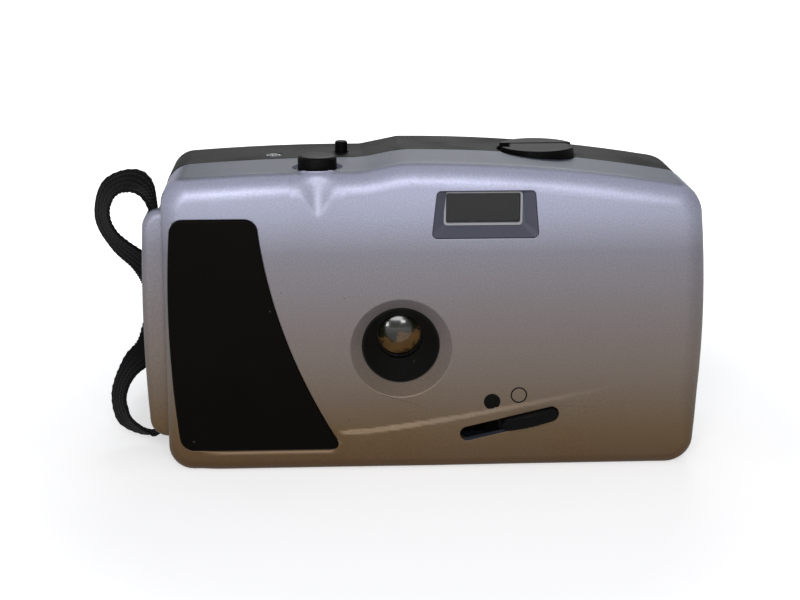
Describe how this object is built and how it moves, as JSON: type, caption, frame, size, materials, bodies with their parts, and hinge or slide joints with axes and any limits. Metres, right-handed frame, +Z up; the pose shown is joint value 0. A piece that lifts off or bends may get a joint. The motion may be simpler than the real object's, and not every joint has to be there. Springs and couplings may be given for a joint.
{
  "type": "panoramic camera",
  "caption": "Compact panoramic film camera with silver front shell, black grip panel, recessed lens, viewfinder, slide cover, rewind knob and wrist strap.",
  "frame": {"origin": "on the base, 20 mm behind the front face and 6.4 mm to the right of the lens axis", "axes": "+Z up, +X to the viewer's right when facing the lens, +Y from the lens side to the back"},
  "size_m": [0.1386, 0.0929, 0.0693],
  "materials": {
    "silver": "silver metallic paint over plastic, satin",
    "black_plastic": "fine spark texture",
    "grip_black": "smooth satin",
    "bezel_grey": "satin",
    "inner_black": "dead matt",
    "button_black": "semi gloss",
    "window_clear": "clear moulded pane",
    "lens_glass": "coated",
    "steel": "bright",
    "blackened_steel": "blackened",
    "white_plastic": "smooth",
    "foam": "open foam",
    "webbing": "woven ribbed webbing"
  },
  "bodies": {
    "case": {"front_shell": "silver", "grip_panel": "grip_black", "viewfinder_bezel": "bezel_grey", "viewfinder_window": "window_clear", "viewfinder_housing": "inner_black", "viewfinder_eyepiece": "window_clear", "lens_funnel": "inner_black", "lens_retainer": "steel", "lens_front_element": "lens_glass", "lens_barrel": "inner_black", "aperture_disc": "blackened_steel", "lens_rear_element": "lens_glass", "shutter_plate": "blackened_steel", "shutter_spring": "steel", "button_spring": "steel", "main_body": "black_plastic", "top_cover": "black_plastic", "counter_window": "window_clear", "release_spring": "steel", "wheel_pawl": "steel", "panorama_mask": "inner_black", "hinge_pin": "steel", "light_seals": "foam", "latch_spring": "steel", "case_screws": "blackened_steel", "top_screws": "blackened_steel", "wrist_strap": "webbing"},
    "button": {"shutter_button": "button_black"},
    "lever": {"shutter_lever": "steel"},
    "blade": {"shutter_blade": "blackened_steel"},
    "slider": {"lens_cover_slider": "button_black"},
    "cover_blade": {"lens_cover_blade": "blackened_steel"},
    "release": {"rewind_release": "steel"},
    "advance": {"advance_wheel": "button_black", "takeup_spool": "inner_black"},
    "sprocket": {"film_sprocket": "white_plastic", "counter_cam": "steel"},
    "counter": {"counter_dial": "white_plastic"},
    "rewind_lift": {"rewind_collar": "inner_black"},
    "rewind": {"rewind_knob": "button_black", "rewind_fork": "inner_black", "crank_pin": "steel"},
    "crank": {"rewind_crank": "button_black"},
    "door": {"back_door": "black_plastic", "film_window": "window_clear", "pressure_plate": "blackened_steel", "pressure_spring": "steel"},
    "latch": {"door_latch": "button_black"}
  },
  "joints": [
    {"name": "shutter_press", "type": "slide", "parent": "case", "child": "button", "axis": [0, 0, -1], "range_m": [0, 0.0022], "stiffness_N_per_m": 120, "springref_m": -0.001, "deforming": ["button_spring"]},
    {"name": "lever_turn", "type": "hinge", "parent": "case", "child": "lever", "pos_m": [-0.0175, -0.0074, 0.0445], "axis": [0, -1, 0], "range_deg": [0, 21]},
    {"name": "blade_swing", "type": "hinge", "parent": "case", "child": "blade", "pos_m": [0.0016, -0.0052, 0.036], "axis": [0, 1, 0], "range_deg": [0, 32], "stiffness_Nm_per_rad": 0.0005, "springref_deg": -28.65},
    {"name": "cover_slide", "type": "slide", "parent": "case", "child": "slider", "axis": [-0.9744, 0, -0.225], "range_m": [0, 0.009]},
    {"name": "cover_swing", "type": "hinge", "parent": "case", "child": "cover_blade", "pos_m": [0.009, -0.0102, 0.019], "axis": [0, 1, 0], "range_deg": [0, 46.2]},
    {"name": "release_press", "type": "slide", "parent": "case", "child": "release", "axis": [0, 0, -1], "range_m": [0, 0.0012], "stiffness_N_per_m": 120, "springref_m": -0.0008, "deforming": ["release_spring"]},
    {"name": "film_advance", "type": "hinge", "parent": "case", "child": "advance", "pos_m": [-0.0415, 0.0052, 0.058], "axis": [0, 0, 1], "continuous": true},
    {"name": "sprocket_spin", "type": "hinge", "parent": "case", "child": "sprocket", "pos_m": [-0.0189, 0.00555, 0.0421], "axis": [0, 0, 1], "continuous": true},
    {"name": "counter_turn", "type": "hinge", "parent": "case", "child": "counter", "pos_m": [-0.0305, 0.0082, 0.0613], "axis": [0, 0, 1], "continuous": true},
    {"name": "rewind_pull", "type": "slide", "parent": "case", "child": "rewind_lift", "axis": [0, 0, 1], "range_m": [0, 0.007]},
    {"name": "rewind_spin", "type": "hinge", "parent": "rewind_lift", "child": "rewind", "pos_m": [0.0249, 0.002, 0.067], "axis": [0, 0, 1], "continuous": true},
    {"name": "crank_fold", "type": "hinge", "parent": "rewind", "child": "crank", "pos_m": [0.0193, 0.002, 0.06795], "axis": [0, -1, 0], "range_deg": [0, 150]},
    {"name": "door_swing", "type": "hinge", "parent": "case", "child": "door", "pos_m": [-0.0553, 0.0155, 0.0286], "axis": [0, 0, 1], "range_deg": [0, 90]},
    {"name": "latch_slide", "type": "slide", "parent": "case", "child": "latch", "axis": [0, 0, -1], "range_m": [0, 0.004], "stiffness_N_per_m": 100, "springref_m": -0.001, "deforming": ["latch_spring"]}
  ],
  "couplings": [
    {"joint": "lever_turn", "follows": "shutter_press", "rad_per_m": 162},
    {"joint": "cover_swing", "follows": "cover_slide", "rad_per_m": 89.43},
    {"joint": "counter_turn", "follows": "sprocket_spin", "ratio": -0.025}
  ]
}
